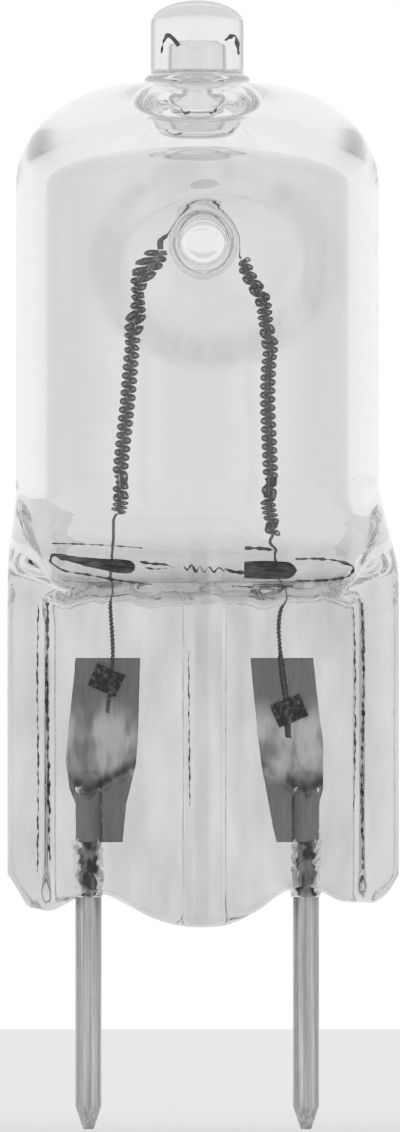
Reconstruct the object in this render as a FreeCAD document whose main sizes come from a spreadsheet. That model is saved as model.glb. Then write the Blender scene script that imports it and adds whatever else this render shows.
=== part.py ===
import FreeCAD, Part
import math
import os
import types
import Sketcher
from FreeCAD import Vector

# Bi-pin halogen capsule bulb, millimetres. The origin is midway between the pins, in the plane where they leave
# the glass. X runs through both pins, Y through the thickness of the press seal and Z along the bulb to its tip.

os.makedirs("parts", exist_ok=True)
doc = FreeCAD.newDocument("halogen_capsule")
sheet = doc.addObject("Spreadsheet::Sheet", "sizes")


class Size:
    """A number together with the expression on the sheet that gives it, so that sums of sizes stay bound."""

    def __init__(self, value, words=None):
        self.value = float(value)
        self.words = words or f"{value}"

    def mix(self, other, sign):
        other = other if isinstance(other, Size) else Size(other)
        value = {"+": self.value + other.value, "-": self.value - other.value, "*": self.value * other.value}[sign]
        return Size(value, f"({self.words} {sign} {other.words})")

    def __add__(self, other):
        return self.mix(other, "+")

    def __sub__(self, other):
        return self.mix(other, "-")

    def __mul__(self, other):
        return self.mix(other, "*")

    def __neg__(self):
        return self.mix(-1, "*")


def driving(values):
    """Writes each value in a cell under its name and returns them as sizes."""
    held = {}
    for alias, value in values.items():
        driving.row += 1
        sheet.set(f"A{driving.row}", alias)
        sheet.set(f"B{driving.row}", str(value))
        sheet.setAlias(f"B{driving.row}", alias)
        held[alias] = Size(value, "sizes." + alias)
    return types.SimpleNamespace(**held)


def driving_table(stem, columns, rows):
    """Sizes of the sections of a loft: one row of cells for each section."""
    table = []
    for name, numbers in rows.items():
        held = driving({f"{stem}_{name}_{column}": number for column, number in zip(columns, numbers)})
        table.append((name, *vars(held).values()))
    return table


driving.row = 0
ZERO = Size(0)

# Main sizes
PIN_SPACING = 8.0
PIN_RADIUS = 0.48
PIN_REACH = 8.68
BARREL_RADIUS = 6.67
BARREL_WALL = 1.12
DOME_LEVEL = 26.0
TIP_LEVEL = 32.83
PRESS_HALF = 7.19
WEB_HALF = 1.5

pins = driving({
    "pin_spacing": PIN_SPACING, "pin_radius": PIN_RADIUS, "pin_reach": PIN_REACH, "pin_top": 3.85,
    "pin_seal_radius": PIN_RADIUS - 0.05, "pin_top_radius": PIN_RADIUS - 0.09, "pin_free_level": -0.9,
    "pin_bore": PIN_RADIUS - 0.01, "pin_taper": 0.85, "pin_flat": 0.2, "chisel_rise": 0.85, "chisel_depth": 0.05,
})
blown = driving({
    "barrel_radius": BARREL_RADIUS, "barrel_wall": BARREL_WALL, "shoulder_level": 15.3, "dome_level": DOME_LEVEL,
    "neck_level": DOME_LEVEL + 3.8, "neck_radius": 1.71, "cap_level": TIP_LEVEL - 0.88, "tip_level": TIP_LEVEL,
    "crown_thickness": 1.65, "exhaust_radius": 0.78, "exhaust_level": TIP_LEVEL - 1.53, "exhaust_flare": 0.5,
    "exhaust_point": 0.35,
})
press = driving({
    "press_shift": 0.22, "press_half": PRESS_HALF, "web_half": WEB_HALF, "rib_half": 2.3, "rib_land": 1.0,
    "rib_slope": 0.6, "rib_level": 11.4, "rib_corner": 0.3, "ridge_shift": 0.25, "ridge_half": 0.62,
    "ridge_rise": 0.42, "belly_radius": 5.0, "heel_radius": 1.25, "toe_radius": 1.9, "press_bottom": 1.9,
})
dimple = driving({"dimple_x": 0.21, "dimple_z": 23.85, "dimple_slip": 0.33, "dimple_drop": 0.65})
metal = driving({
    "foil_half": 0.03, "foil_gap": 0.02, "foil_top": 8.64, "foil_foot": 1.9, "foil_bend": 0.75, "foil_land": 0.05,
    "tab_width": 1.14, "tab_height": 0.88, "tab_thickness": 0.2, "tab_turn": 23.0,
})
wire = driving({
    "coil_radius": 0.19, "coil_pitch": 0.31, "cord_radius": 0.1, "arch_radius": 0.055, "leg_radius": 0.065,
    "wire_gap": 0.03,
})
SQUEEZE_COLUMNS = ("level", "middle", "half_x", "half_y", "corner")
shoulder_rows = driving_table("shoulder", SQUEEZE_COLUMNS, {
    "start": (14.7, 0, 6.70, 6.50, 6.40),
    "upper": (13.6, 0, 6.88, 5.35, 5.00),
    "middle": (12.5, 0.22, 7.08, 3.75, 3.00),
    "lower": (11.4, 0.22, 7.19, 2.40, 1.10),
    "web": (10.9, 0.22, 7.19, 1.62, 0.80),
})
foot_rows = driving_table("foot", SQUEEZE_COLUMNS, {
    "start": (14.6, 0, 5.57, 5.25, 5.15),
    "upper": (13.6, 0, 5.62, 4.15, 4.00),
    "middle": (12.6, 0.2, 5.60, 2.60, 2.45),
    "lower": (12.0, 0.2, 5.55, 1.40, 1.30),
    "slit": (11.5, 0.2, 5.40, 0.45, 0.43),
})
FUNNEL_COLUMNS = ("depth", "half_x", "half_z", "slip")
post_rows = driving_table("post", FUNNEL_COLUMNS, {
    "root": (6.0, 5.3, 4.2, 1),
    "edge": (5.4, 4.9, 3.3, 1),
    "back": (4.8, 4.4, 2.5, 0.8),
    "wing": (4.1, 3.6, 1.85, 0.55),
    "bell": (3.85, 2.5, 1.55, 0.35),
    "cove": (3.65, 1.75, 1.35, 0.15),
    "waist": (3.3, 1.22, 1.15, 0.03),
    "shank": (2.4, 1.0, 1.0, 0),
    "middle": (0, 0.92, 0.92, 0),
})
dimple_rows = driving_table("dimple", FUNNEL_COLUMNS, {
    "mouth": (7.0, 4.6, 4.2, 1),
    "lip": (6.4, 4.2, 2.92, 0.9),
    "brow": (5.9, 3.9, 2.28, 0.75),
    "wing": (5.35, 3.4, 1.77, 0.5),
    "bowl": (5.15, 2.3, 1.57, 0.3),
    "slope": (4.9, 1.67, 1.3, 0.15),
    "dish": (4.68, 1.25, 1.0, 0.03),
    "end": (4.5, 0.75, 0.6, 0),
})
doc.recompute()
pin_x = pins.pin_spacing * 0.5


def new_body(label):
    body = doc.addObject("PartDesign::Body", label)
    body.Label = label
    return body


def new_sketch(body, label, plane, level=ZERO):
    """Empty sketch on an origin plane of the body, lifted along the plane's normal."""
    sketch = body.newObject("Sketcher::SketchObject", label)
    support = next(item for item in body.Origin.OriginFeatures if item.Role == plane)
    sketch.AttachmentSupport = (support, "")
    sketch.MapMode = "FlatFace"
    sketch.setExpression("AttachmentOffset.Base.z", level.words)
    return sketch


def bind(sketch, constraint, length):
    sketch.setExpression(f"Constraints[{sketch.addConstraint(constraint)}]", length.words)


def polygon(sketch, corners):
    """Closed outline through the corners, each held by its two sizes. A third entry is the radius of an arc
    that hangs below the chord from the corner before."""
    spots = [Vector(corner[0].value, corner[1].value, 0) for corner in corners]
    edges = []
    for index, corner in enumerate(corners):
        before, here = spots[index - 1], spots[index]
        if len(corner) == 2:
            edge = sketch.addGeometry(Part.LineSegment(before, here))
        else:
            radius = corner[2].value
            chord = here - before
            lift = math.sqrt(radius ** 2 - (chord.Length / 2) ** 2)
            centre = before + chord * 0.5 + Vector(-chord.y, chord.x, 0).normalize() * lift
            start, stop = (math.atan2(spot.y - centre.y, spot.x - centre.x) for spot in (before, here))
            circle = Part.Circle(centre, Vector(0, 0, 1), radius)
            edge = sketch.addGeometry(Part.ArcOfCircle(circle, start, stop))
            bind(sketch, Sketcher.Constraint("Radius", edge, radius), corner[2])
        for kind, length, axis in (("DistanceX", corner[0], -2), ("DistanceY", corner[1], -1)):
            if length is ZERO:
                sketch.addConstraint(Sketcher.Constraint("PointOnObject", edge, 2, axis))
            else:
                bind(sketch, Sketcher.Constraint(kind, -1, 1, edge, 2, length.value), length)
        edges.append(edge)
    for edge, following in zip(edges, edges[1:] + edges[:1]):
        sketch.addConstraint(Sketcher.Constraint("Coincident", edge, 2, following, 1))


def quarter(start, stop, chords):
    """Corners along a quarter of an ellipse, upright at its start and level at its stop."""
    corners = []
    for step in range(1, chords):
        angle = math.radians(90 * step / chords)
        corners.append((stop[0] + (start[0] - stop[0]) * round(math.cos(angle), 6),
                        start[1] + (stop[1] - start[1]) * round(math.sin(angle), 6)))
    return corners + [stop]


def oval(middle_x, middle_y, half_x, half_y, corner_x, corner_y, chords):
    """Corners of a rectangle whose corners are rounded by quarters of ellipses, each in so many chords."""
    corners = []
    for turn, (side_x, side_y) in enumerate(((1, 1), (-1, 1), (-1, -1), (1, -1))):
        for step in range(chords + 1):
            angle = math.radians(90 * (turn + step / chords))
            corners.append((middle_x + (half_x - corner_x) * side_x + corner_x * math.cos(angle),
                            middle_y + (half_y - corner_y) * side_y + corner_y * math.sin(angle)))
    return corners


def revolve(body, sketch):
    turn = body.newObject("PartDesign::Revolution", sketch.Label + "_turn")
    turn.Profile = sketch
    turn.ReferenceAxis = (sketch, ["V_Axis"])
    turn.Angle = 360
    doc.recompute()


def extrude(body, sketch, up, down, feature="PartDesign::Pad"):
    """Pad or pocket to both sides of its sketch."""
    run = body.newObject(feature, sketch.Label + "_run")
    run.Profile = sketch
    run.SideType = "Two sides"
    run.setExpression("Length", up.words)
    run.setExpression("Length2", down.words)
    doc.recompute()


def flat(*corners):
    return Part.Face(Part.makePolygon([*corners, corners[0]]))


def skin(rings, flatness=1e-6):
    """Solid through rings of corners that match one to one. A side is one flat face where its four corners lie in
    a plane, and two triangles on the shorter diagonal where they don't."""
    faces = [flat(*rings[0]), flat(*rings[-1])]
    for low, high in zip(rings, rings[1:]):
        for index in range(len(low)):
            a, b, c, d = low[index - 1], low[index], high[index], high[index - 1]
            normal = (b - a).cross(d - a)
            if abs((c - a).dot(normal)) < flatness * normal.Length:
                faces.append(flat(a, b, c, d))
            elif (c - a).Length < (d - b).Length:
                faces += [flat(a, b, c), flat(a, c, d)]
            else:
                faces += [flat(a, b, d), flat(b, c, d)]
    shell = Part.makeShell(faces)
    shell.sewShape()
    solid = Part.Solid(shell)
    if solid.Volume < 0:
        solid.reverse()
    return solid


def made_in_code(label, shape):
    """Feature for a solid that no profile or primitive gives."""
    feature = doc.addObject("Part::Feature", label)
    feature.Shape = shape
    feature.Label = label
    return feature


def join(kind, label, parts):
    """Boolean of whole shapes. A cut takes exactly two."""
    result = doc.addObject(kind, label)
    if kind == "Part::Cut":
        result.Base, result.Tool = parts
    else:
        result.Shapes = parts
    result.Label = label
    doc.recompute()
    return result


# Envelope, outside: exhaust tip, dome and barrel turned in one profile
glass = new_body("glass_blown")
wall_line = new_sketch(glass, "wall_line", "XZ_Plane")
dome_start = (blown.barrel_radius, blown.dome_level)
cap_start = (blown.neck_radius, blown.cap_level)
polygon(wall_line, [
    (ZERO, blown.shoulder_level),
    (blown.barrel_radius, blown.shoulder_level),
    dome_start,
    *quarter(dome_start, (blown.neck_radius, blown.neck_level), 7),
    cap_start,
    *quarter(cap_start, (ZERO, blown.tip_level), 4),
])
revolve(glass, wall_line)


def squeeze(label, rows, start_radius, chords=7):
    """Loft from the round barrel down through rounded rectangles."""
    start = start_radius.value
    sections = [(blown.shoulder_level.value, 0, start, start, start - 0.01)]
    sections += [[number.value for number in row[1:]] for row in rows]
    rings = []
    for level, middle, half_x, half_y, corner in sections:
        spots = oval(middle, 0, half_x, half_y, corner, corner, chords)
        rings.append([Vector(x, y, level) for x, y in spots])
    return made_in_code(label, skin(rings))


# Envelope, outside: shoulder between the round barrel and the flat seal
shoulder = squeeze("glass_shoulder", shoulder_rows, blown.barrel_radius)

# Envelope, outside: press seal padded from its I-section, then cut to its flowing lower edge
seal = new_body("glass_press")
right_edge = press.press_shift + press.press_half
left_edge = press.press_shift - press.press_half
ridge_right = press.ridge_shift + press.ridge_half
ridge_left = press.ridge_shift - press.ridge_half
front_half = [
    (right_edge, press.rib_half - press.rib_corner),
    (right_edge - press.rib_corner, press.rib_half),
    (right_edge - press.rib_land, press.rib_half),
    (right_edge - press.rib_land - press.rib_slope, press.web_half),
    (ridge_right + press.ridge_rise, press.web_half),
    (ridge_right, press.web_half + press.ridge_rise),
    (ridge_left, press.web_half + press.ridge_rise),
    (ridge_left - press.ridge_rise, press.web_half),
    (left_edge + press.rib_land + press.rib_slope, press.web_half),
    (left_edge + press.rib_land, press.rib_half),
    (left_edge + press.rib_corner, press.rib_half),
    (left_edge, press.rib_half - press.rib_corner),
]
seal_section = new_sketch(seal, "seal_section", "XY_Plane")
polygon(seal_section, front_half + [(x, -y) for x, y in reversed(front_half)])
extrude(seal, seal_section, press.rib_level, press.press_bottom)
lower_edge = new_sketch(seal, "seal_lower_edge", "XZ_Plane")
polygon(lower_edge, [
    (left_edge - 1, Size(0.95)),
    (left_edge, Size(0.95)),
    (left_edge + 0.12, Size(0.55)),
    (left_edge + 0.72, Size(-0.42)),
    (left_edge + 2.35, Size(-0.3), press.heel_radius),
    (-pin_x + 0.62, Size(-0.04)),
    (pin_x - 0.58, Size(0.12), press.belly_radius),
    (pin_x + 0.5, Size(0.1)),
    (right_edge - 0.82, Size(-0.31), press.toe_radius),
    (right_edge - 0.1, Size(0.3)),
    (right_edge, Size(0.55)),
    (right_edge + 1, Size(0.95)),
    (right_edge + 1, -press.press_bottom - 1),
    (left_edge - 1, -press.press_bottom - 1),
])
extrude(seal, lower_edge, press.rib_half, press.rib_half, "PartDesign::Pocket")
envelope_body = join("Part::MultiFuse", "envelope_body", [glass, shoulder, seal])

# Envelope, inside: round chamber with its exhaust bore, and its foot squeezed to a slit by the press
chamber = new_body("chamber_round")
chamber_line = new_sketch(chamber, "chamber_line", "XZ_Plane")
chamber_radius = blown.barrel_radius - blown.barrel_wall
crown_start = (chamber_radius, blown.dome_level)
crown_level = blown.neck_level - blown.crown_thickness
polygon(chamber_line, [
    (ZERO, blown.shoulder_level),
    (chamber_radius, blown.shoulder_level),
    crown_start,
    *quarter(crown_start, (blown.exhaust_radius + blown.exhaust_flare, crown_level), 5),
    (blown.exhaust_radius, crown_level + blown.exhaust_flare),
    (blown.exhaust_radius, blown.exhaust_level),
    (ZERO, blown.exhaust_level + blown.exhaust_point),
])
revolve(chamber, chamber_line)
foot = squeeze("chamber_foot", foot_rows, chamber_radius)
chamber_full = join("Part::MultiFuse", "chamber_full", [chamber, foot])


def funnel(label, rows, chords=6):
    """Half of a pressed dimple, lofted from front to middle through ellipses, and its mirror image at the back."""
    rings = []
    for _, *sizes in rows:
        depth, half_x, half_z, slip = (number.value for number in sizes)
        middle_x = dimple.dimple_x.value + dimple.dimple_slip.value * slip
        middle_z = dimple.dimple_z.value - dimple.dimple_drop.value * slip
        spots = oval(middle_x, middle_z, half_x, half_z, half_x - 0.01, half_z - 0.01, chords)
        rings.append([Vector(x, -depth, z) for x, z in spots])
    front = made_in_code(label + "_front", skin(rings))
    back = doc.addObject("Part::Mirroring", label + "_back")
    back.Source = front
    back.Normal = Vector(0, 1, 0)
    doc.recompute()
    return [front, back]


# Glass that the dimples push into the chamber, and the hollows that they leave outside
posts = funnel("post", post_rows)
chamber_clear = join("Part::Cut", "chamber", [chamber_full, join("Part::MultiFuse", "post_pair", posts)])
dimples = funnel("dimple", dimple_rows)

# Pins: drawn wire with a tapered end and one slanted flat, each in a bore a little wider than itself. The stretch
# in the seal is etched to a slight taper, and the free stretch below it is the straight wall a lampholder grips.
SIDES = {"left": -1, "right": 1}
pin_bodies = {}
bores = []
for side, sign in SIDES.items():
    pin = new_body(f"pin_{side}")
    pin.setExpression(".Placement.Base.x", (pin_x * sign).words)
    pin_line = new_sketch(pin, f"pin_{side}_line", "XZ_Plane")
    polygon(pin_line, [
        (ZERO, -pins.pin_reach),
        (pins.pin_flat, -pins.pin_reach),
        (pins.pin_radius, pins.pin_taper - pins.pin_reach),
        (pins.pin_radius, pins.pin_free_level),
        (pins.pin_seal_radius, pins.pin_free_level),
        (pins.pin_top_radius, pins.pin_top),
        (ZERO, pins.pin_top),
    ])
    revolve(pin, pin_line)
    chisel = new_sketch(pin, f"pin_{side}_chisel", "YZ_Plane")
    polygon(chisel, [
        (-pins.pin_radius, pins.chisel_rise - pins.pin_reach),
        (-pins.chisel_depth, -pins.pin_reach),
        (-pins.chisel_depth, -pins.pin_reach - 1),
        (-pins.pin_radius - 1, -pins.pin_reach - 1),
        (-pins.pin_radius - 1, pins.chisel_rise - pins.pin_reach),
    ])
    extrude(pin, chisel, pins.pin_radius, pins.pin_radius, "PartDesign::Pocket")
    pin_bodies[side] = pin
    bore = doc.addObject("Part::Cylinder", f"bore_{side}")
    bore.setExpression("Radius", pins.pin_bore.words)
    bore.setExpression("Height", (pins.pin_top + press.press_bottom + metal.foil_gap).words)
    bore.setExpression(".Placement.Base.x", (pin_x * sign).words)
    bore.setExpression(".Placement.Base.z", (-press.press_bottom).words)
    bores.append(bore)

# Foils: one bent strip, cut to the outline of each foil, in a slot that follows it. An outline gives the distance
# of each corner from the pin's line and its level.
FOILS = {
    "left": [(-0.48, metal.foil_top), (1.90, metal.foil_top), (1.82, 5.92), (1.75, 4.82), (1.40, 3.31),
             (1.27, metal.foil_foot), (-0.46, metal.foil_foot), (-0.46, 3.3), (-0.68, pins.pin_top),
             (-0.82, 4.9)],
    "right": [(-2.05, metal.foil_top), (0.26, metal.foil_top), (0.44, 7.06), (0.63, 5.37),
              (0.63, pins.pin_top), (0.48, 3.3), (0.48, metal.foil_foot), (-1.07, metal.foil_foot),
              (-1.21, 2.5), (-1.37, 3.46), (-1.64, 4.82), (-1.80, 6.1)],
}
lap = -pins.pin_radius - metal.foil_gap - metal.foil_half


def strip(label, growth):
    """Strip as wide as the seal that steps from the middle plane to the front of the pins."""
    body = new_body(label)
    line = new_sketch(body, label + "_line", "YZ_Plane")
    half = metal.foil_half + growth
    polygon(line, [
        (-half, metal.foil_top + growth),
        (-half, pins.pin_top + metal.foil_bend),
        (lap - half, pins.pin_top + metal.foil_land),
        (lap - half, metal.foil_foot - growth),
        (lap + half, metal.foil_foot - growth),
        (lap + half, pins.pin_top + metal.foil_land),
        (half, pins.pin_top + metal.foil_bend),
        (half, metal.foil_top + growth),
    ])
    extrude(body, line, press.press_half, press.press_half)
    return body


foil_strip = strip("foil_strip", Size(0))
slot_strip = strip("slot_strip", metal.foil_gap)
foils = {}
slots = []
for side, sign in SIDES.items():
    blank = new_body(f"foil_blank_{side}")
    blank_line = new_sketch(blank, f"foil_{side}_line", "XZ_Plane")
    polygon(blank_line, [(pin_x * sign + x, z if isinstance(z, Size) else Size(z)) for x, z in FOILS[side]])
    extrude(blank, blank_line, press.web_half, press.web_half)
    foils[side] = join("Part::MultiCommon", f"foil_{side}", [foil_strip, blank])
    slots.append(join("Part::MultiCommon", f"slot_{side}", [slot_strip, blank]))


# Filament: one wire, from a leg through a coiled limb, over the post and down again
def along(points):
    """Smooth curve through a few points in the middle plane."""
    curve = Part.BSplineCurve()
    curve.interpolate([Vector(x, 0, z) for x, z in points])
    return curve


def coil(points, start_angle, hand, segments=6):
    """Corners of a helix round a curve."""
    curve = along(points)
    turns = round(curve.length() / wire.coil_pitch.value)
    corners = []
    for step, middle in enumerate(curve.discretize(turns * segments + 1)):
        angle = math.radians(start_angle) + hand * 2 * math.pi * step / segments
        across = Vector(0, 1, 0).cross(curve.tangent(curve.parameter(middle))[0]).normalize()
        spoke = across * math.cos(angle) + Vector(0, 1, 0) * math.sin(angle)
        corners.append(middle + spoke * wire.coil_radius.value)
    return corners


def cord(path, radii, sides=5):
    """Wire with flat sides along a path, mitred at its bends, with a radius for each corner."""
    steps = [(b - a).normalize() for a, b in zip(path, path[1:])]
    out = steps[0].cross(Vector(0.3, 1, 0.2)).normalize()
    ring = []
    for side in range(sides):
        angle = 2 * math.pi * side / sides
        ring.append(path[0] + (out * math.cos(angle) + steps[0].cross(out) * math.sin(angle)) * radii[0])
    rings = [ring]
    for index in range(1, len(path)):
        step = steps[index - 1]
        mitre = step + steps[min(index, len(steps) - 1)]
        growth = radii[index] / radii[index - 1]
        moved = [spot + step * ((path[index] - spot).dot(mitre) / step.dot(mitre)) for spot in rings[-1]]
        rings.append([path[index] + (spot - path[index]) * growth for spot in moved])
    return skin(rings)


leg_y = -(metal.foil_half + wire.leg_radius).value
LEGS = {
    "left": [(-3.28, 6.62), (-3.22, 7.28), (-3.08, 8.71), (-3.13, 9.82), (-3.2, 10.99), (-3.2, 11.58)],
    "right": [(3.33, 5.72), (3.25, 7.2), (3.12, 8.12), (3.07, 8.71), (3.07, 10.4), (3.15, 11.49)],
}
FREE_LEGS = {
    "left": [(-3.29, 11.95), (-3.3, 12.2), (-3.2, 12.83), (-3.19, 13.75)],
    "right": [(2.98, 11.84), (2.9, 12.13), (2.98, 12.46), (2.94, 12.75), (2.74, 13.15)],
}
LIMBS = {
    "left": [(-2.98, 14.0), (-2.75, 16.3), (-2.45, 19.6), (-2.31, 21.3), (-1.98, 23.5)],
    "right": [(2.86, 13.35), (2.66, 15.85), (2.61, 18.2), (2.6, 20.9), (2.2, 22.95)],
}
ARCH = [(-1.46, 24.1), (-1.07, 24.35), (-0.61, 24.79), (-0.12, 25.08), (0.48, 25.2), (1.02, 25.09),
        (1.36, 24.72), (1.62, 24.19), (1.78, 23.55)]
embedded = {}
limbs = {}
for side, hand in (("left", 1), ("right", -1)):
    embedded[side] = [Vector(x, leg_y, z) for x, z in LEGS[side]]
    limbs[side] = embedded[side] + [Vector(x, 0, z) for x, z in FREE_LEGS[side]]
    coiled = coil(LIMBS[side], 180, hand)
    limbs[side + "_radii"] = [wire.leg_radius.value] * len(limbs[side]) + [wire.cord_radius.value] * len(coiled)
    limbs[side] += coiled
bridge = [Vector(x, 0, z) for x, z in ARCH]
wire_path = limbs["left"] + bridge + limbs["right"][::-1]
wire_radii = limbs["left_radii"] + [wire.arch_radius.value] * len(bridge) + limbs["right_radii"][::-1]
filament = made_in_code("filament", cord(wire_path, wire_radii))

# Weld tabs: small plates pressed over the legs onto the foils
tunnels = []
tabs = {}
TAB_PLACES = {"left": (-3.33, 7.83), "right": (3.38, 6.71)}
for side, sign in SIDES.items():
    tunnel_radius = wire.leg_radius.value + wire.wire_gap.value
    run = embedded[side] + [Vector(embedded[side][-1].x, 0, 12.5)]
    run[0] = run[0] - Vector(0, 0, wire.wire_gap.value)
    tunnels.append(made_in_code(f"tunnel_{side}", cord(run, [tunnel_radius] * len(run))))
    plates = []
    for kind, growth in (("plate", Size(0)), ("recess", wire.wire_gap)):
        plate = doc.addObject("Part::Box", f"tab_{kind}_{side}")
        plate.setExpression("Length", (metal.tab_width + growth * 2).words)
        plate.setExpression("Height", (metal.tab_height + growth * 2).words)
        plate.setExpression("Width", (metal.tab_thickness + growth).words)
        turn = metal.tab_turn.value * -sign
        plate.Placement.Rotation.Axis = Vector(0, 1, 0)
        plate.Placement.Rotation.Angle = math.radians(turn)
        middle = plate.Placement.Rotation.multVec(Vector((metal.tab_width + growth * 2).value / 2, 0,
                                                         (metal.tab_height + growth * 2).value / 2))
        front = -(metal.foil_half + metal.tab_thickness + growth).value
        plate.Placement.Base = Vector(TAB_PLACES[side][0], front, TAB_PLACES[side][1]) - middle
        plates.append(plate)
    tabs[side] = join("Part::Cut", f"weld_tab_{side}", [plates[0], tunnels[-1]])
    slots.append(plates[1])

hollows = join("Part::MultiFuse", "hollows", [chamber_clear] + dimples + bores + slots + tunnels)
envelope = join("Part::Cut", "envelope", [envelope_body, hollows])

pieces = [envelope, filament, *foils.values(), *tabs.values(), *pin_bodies.values()]
for part in doc.Objects:
    if "Invalid" in part.State or "Error" in part.State:
        raise RuntimeError(f"{part.Label}: {part.State}")
for piece in pieces:
    if piece.Shape.isNull() or not piece.Shape.isValid():
        raise RuntimeError(f"{piece.Label} has no valid shape")
    piece.Shape.exportStep(f"parts/{piece.Label}.step")
    print(piece.Label, round(piece.Shape.Volume, 3), len(piece.Shape.Solids), len(piece.Shape.Faces))
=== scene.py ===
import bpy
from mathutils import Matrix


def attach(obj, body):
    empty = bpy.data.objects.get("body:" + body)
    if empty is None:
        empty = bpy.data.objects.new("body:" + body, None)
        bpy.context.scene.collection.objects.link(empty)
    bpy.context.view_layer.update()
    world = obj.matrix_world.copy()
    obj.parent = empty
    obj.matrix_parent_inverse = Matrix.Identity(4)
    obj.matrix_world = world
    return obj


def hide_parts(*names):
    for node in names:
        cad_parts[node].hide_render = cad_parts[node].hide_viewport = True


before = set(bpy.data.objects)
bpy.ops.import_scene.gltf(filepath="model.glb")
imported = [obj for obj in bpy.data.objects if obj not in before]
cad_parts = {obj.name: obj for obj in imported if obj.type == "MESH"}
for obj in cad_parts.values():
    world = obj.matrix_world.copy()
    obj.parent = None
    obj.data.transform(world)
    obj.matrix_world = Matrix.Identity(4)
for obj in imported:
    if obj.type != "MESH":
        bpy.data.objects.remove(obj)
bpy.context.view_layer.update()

import math
import bmesh
import bpy
import numpy as np
from mathutils import Matrix, Vector

# Camera: level with the bulb and far off, as for a catalogue picture, so the bulb shows almost without
# perspective. The picture is 400 by 1132 pixels, and 27.2 of them make a millimetre at the bulb.
MM = 0.001
PICTURE = (400, 1132)
PIXELS_PER_MM = 27.2
PINS_MIDDLE_PX = 197.2
SEAL_PLANE_PX = 893
FAR = 700 * MM
camera_data = bpy.data.cameras.new("catalogue_camera")
camera = bpy.data.objects.new("catalogue_camera", camera_data)
bpy.context.scene.collection.objects.link(camera)
view_x = (PICTURE[0] / 2 - PINS_MIDDLE_PX) / PIXELS_PER_MM * MM
view_z = (SEAL_PLANE_PX - PICTURE[1] / 2) / PIXELS_PER_MM * MM
camera.location = (view_x, -FAR, view_z)
camera.rotation_euler = (math.radians(90), 0, 0)
camera_data.sensor_width = 36
camera_data.lens = camera_data.sensor_width * FAR / (PICTURE[1] / PIXELS_PER_MM * MM)
camera_data.clip_start = 10 * MM
bpy.context.scene.camera = camera
bpy.context.scene.view_settings.view_transform = "Standard"
# Light is trapped many times over in walls of quartz, so it's followed for longer than usual
light_paths = bpy.context.scene.cycles
light_paths.max_bounces, light_paths.transmission_bounces, light_paths.glossy_bounces = 40, 32, 24


# Envelope: one piece of clear quartz tube, blown and then drawn to a sealed tip. While hot it was dimpled at
# its front and back, which left a solid post across the chamber, and pressed flat round the foils and pins.
class Tone:
    """A value that varies over a surface, so that a material's sums read as plain Python."""

    def __init__(self, tree, socket=None):
        self.tree, self.socket = tree, socket

    def node(self, kind, settings=None, inputs=None, output=0):
        made = self.tree.nodes.new(kind)
        for name, value in (settings or {}).items():
            setattr(made, name, value)
        for key, value in (inputs or {}).items():
            if isinstance(value, Tone):
                self.tree.links.new(value.socket, made.inputs[key])
            else:
                made.inputs[key].default_value = value
        return Tone(self.tree, made.outputs[output])

    def maths(self, operation, first, second=0.0):
        return self.node("ShaderNodeMath", {"operation": operation}, {0: first, 1: second})

    def __add__(self, other):
        return self.maths("ADD", self, other)

    def __radd__(self, other):
        return self.maths("ADD", other, self)

    def __sub__(self, other):
        return self.maths("SUBTRACT", self, other)

    def __rsub__(self, other):
        return self.maths("SUBTRACT", other, self)

    def __mul__(self, other):
        return self.maths("MULTIPLY", self, other)

    def __rmul__(self, other):
        return self.maths("MULTIPLY", other, self)

    def between(self, low, high):
        """0 below low, 1 above high, smooth between them; the other way round when low is above high."""
        return self.node("ShaderNodeMapRange", {"interpolation_type": "SMOOTHSTEP"},
                         {"Value": self, "From Min": low, "From Max": high})

    def axis(self, index):
        """One coordinate of a place on the piece, in millimetres."""
        return self.node("ShaderNodeSeparateXYZ", {}, {0: self}, output=index) * (1 / MM)

    def noise(self, scale, detail, **inputs):
        """Cloudy pattern round this place, with a scale for each direction."""
        stretched = self.node("ShaderNodeMapping", {}, {"Vector": self, "Scale": scale})
        return self.node("ShaderNodeTexNoise", {}, {"Vector": stretched, "Scale": 1.0, "Detail": detail,
                                                    **inputs})


def finish(name, color, **fixed):
    """A Principled material with fixed values on its own sockets, and the place on the piece for its tones."""
    material = bpy.data.materials.new(name)
    material.use_nodes = True
    shader = material.node_tree.nodes["Principled BSDF"]
    shader.inputs["Base Color"].default_value = (*color, 1)
    for socket, value in fixed.items():
        shader.inputs[socket.replace("_", " ")].default_value = value
    return material, Tone(material.node_tree).node("ShaderNodeTexCoord", output=3)


def vary(material, socket, tone):
    """Lets a value that varies over the surface drive one socket of a material."""
    shader = material.node_tree.nodes["Principled BSDF"]
    material.node_tree.links.new(tone.socket, shader.inputs[socket])


def place(name, mesh_source, material, node):
    """Makes a piece of a bmesh, dresses it and lets it stand for its solid."""
    mesh = bpy.data.meshes.new(name)
    mesh_source.to_mesh(mesh)
    mesh_source.free()
    mesh.shade_smooth()
    mesh.materials.append(material)
    piece = bpy.data.objects.new(name, mesh)
    bpy.context.scene.collection.objects.link(piece)
    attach(piece, "root")
    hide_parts(node)


def merged(into, piece):
    """Adds a bmesh to another one and frees it."""
    copy = bpy.data.meshes.new("copy")
    piece.to_mesh(copy)
    piece.free()
    into.from_mesh(copy)
    bpy.data.meshes.remove(copy)


def flow(levels, values):
    """Smooth curve through values given at rising levels."""
    levels, values = np.array(levels, float), np.array(values, float)
    slopes = np.gradient(values, levels)

    def at(level):
        level = np.clip(level, levels[0], levels[-1])
        index = np.clip(np.searchsorted(levels, level) - 1, 0, len(levels) - 2)
        span = levels[index + 1] - levels[index]
        t = (level - levels[index]) / span
        return ((2 * t ** 3 - 3 * t ** 2 + 1) * values[index] + (t ** 3 - 2 * t ** 2 + t) * span * slopes[index]
                + (3 * t ** 2 - 2 * t ** 3) * values[index + 1] + (t ** 3 - t ** 2) * span * slopes[index + 1])

    return at


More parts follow.
